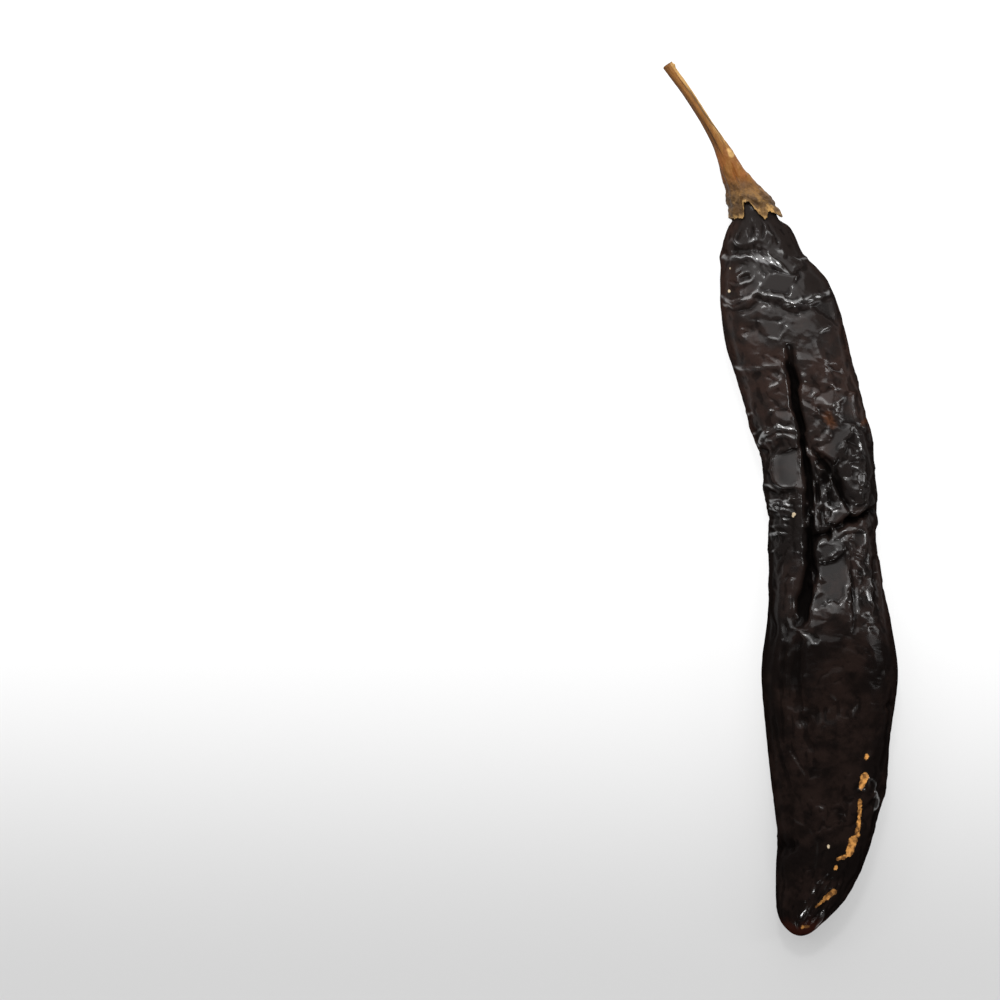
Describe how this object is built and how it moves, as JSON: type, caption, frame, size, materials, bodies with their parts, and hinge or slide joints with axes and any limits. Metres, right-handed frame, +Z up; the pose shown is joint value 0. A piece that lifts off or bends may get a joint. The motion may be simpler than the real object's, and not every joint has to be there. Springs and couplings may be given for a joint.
{
  "type": "dried pasilla pepper",
  "caption": "Long, narrow dried pepper with deeply wrinkled dark skin, its dry stalk and torn calyx attached, lying down.",
  "frame": {"origin": "middle of the whole pepper's box in X and Y, at the height of the surface that its underside rests on", "axes": "+Y along the pepper towards the cut end of the stalk, +Z up from the surface that it lies on, +X to the right when seen from above with the stalk at the top"},
  "size_m": [0.0514, 0.192, 0.0182],
  "materials": {
    "dried_skin": "satin, nearly black with a brown cast, glossy on the ridges",
    "dry_stalk": "dry and fibrous, golden brown, greyer on the calyx"
  },
  "bodies": {
    "root": {"pod": "dried_skin", "stalk_calyx": "dry_stalk"}
  },
  "joints": []
}
